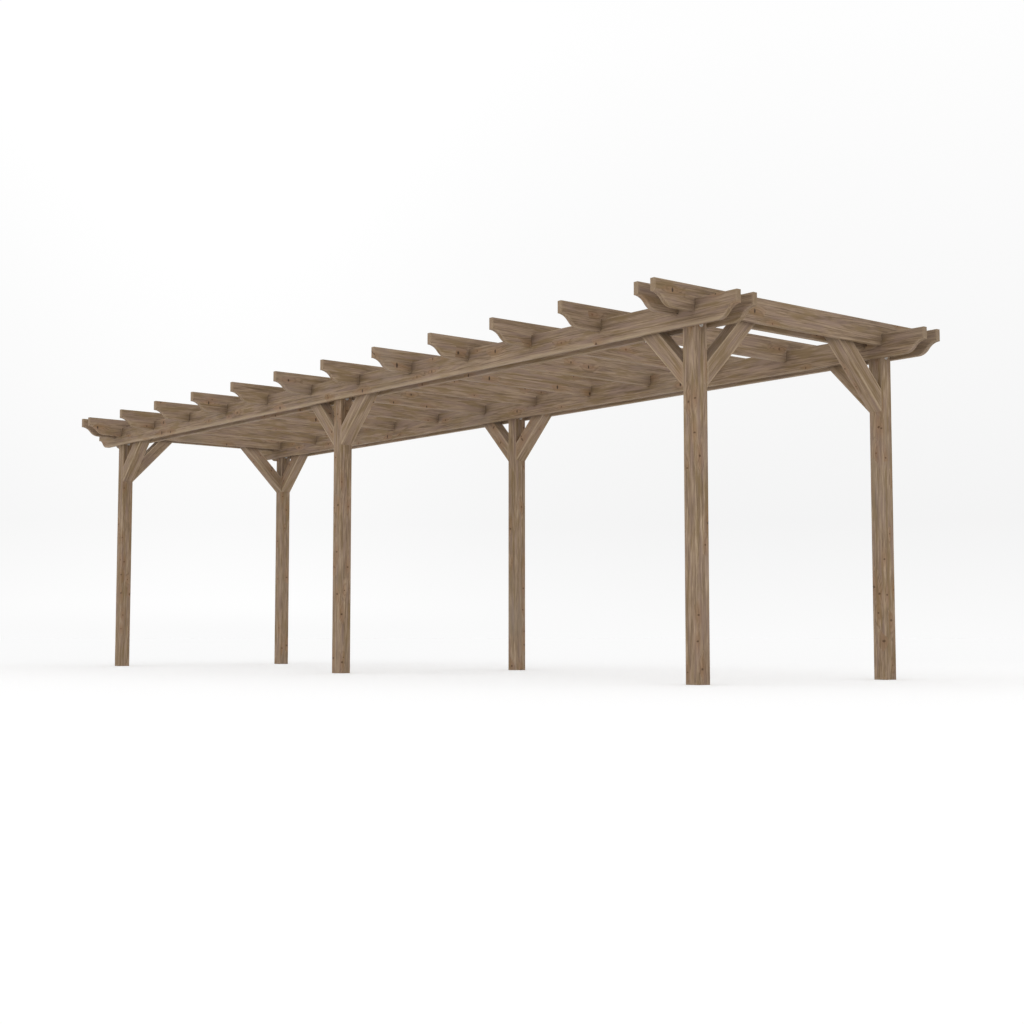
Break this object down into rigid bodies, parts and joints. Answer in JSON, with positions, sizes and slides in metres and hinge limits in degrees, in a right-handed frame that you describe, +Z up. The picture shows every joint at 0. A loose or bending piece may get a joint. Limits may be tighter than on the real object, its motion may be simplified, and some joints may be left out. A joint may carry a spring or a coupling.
{
  "type": "timber pergola",
  "caption": "Free-standing timber pergola: square posts with knee braces carry doubled beams, and ogee-ended rafters are notched down over the beams.",
  "frame": {"origin": "on the ground in the middle of the plan, between the two rows of posts", "axes": "+X along the beams, +Y from the front row of posts to the back row, +Z up"},
  "size_m": [8.26, 2.54, 2.3],
  "materials": {
    "post_timber": "weathered grey-brown stained softwood, matt, knots and streaked grain along the timber",
    "beam_timber": "weathered grey-brown stained softwood, matt, knots and streaked grain along the timber",
    "rafter_timber": "weathered grey-brown stained softwood, matt, knots and streaked grain along the timber",
    "brace_timber": "weathered grey-brown stained softwood, matt, knots and streaked grain along the timber"
  },
  "bodies": {
    "root": {"post_front_left": "post_timber", "post_front_middle": "post_timber", "post_front_right": "post_timber", "post_back_left": "post_timber", "post_back_middle": "post_timber", "post_back_right": "post_timber", "beam_front_outer": "beam_timber", "beam_front_inner": "beam_timber", "beam_back_inner": "beam_timber", "beam_back_outer": "beam_timber", "rafter_01": "rafter_timber", "rafter_02": "rafter_timber", "rafter_03": "rafter_timber", "rafter_04": "rafter_timber", "rafter_05": "rafter_timber", "rafter_06": "rafter_timber", "rafter_07": "rafter_timber", "rafter_08": "rafter_timber", "rafter_09": "rafter_timber", "rafter_10": "rafter_timber", "rafter_11": "rafter_timber", "rafter_12": "rafter_timber", "rafter_13": "rafter_timber", "rafter_14": "rafter_timber", "beam_brace_front_left_inward": "brace_timber", "beam_brace_front_middle_leftward": "brace_timber", "beam_brace_front_middle_rightward": "brace_timber", "beam_brace_front_right_inward": "brace_timber", "rafter_brace_front_left": "brace_timber", "rafter_brace_front_right": "brace_timber", "beam_brace_back_left_inward": "brace_timber", "beam_brace_back_middle_leftward": "brace_timber", "beam_brace_back_middle_rightward": "brace_timber", "beam_brace_back_right_inward": "brace_timber", "rafter_brace_back_left": "brace_timber", "rafter_brace_back_right": "brace_timber"}
  },
  "joints": []
}
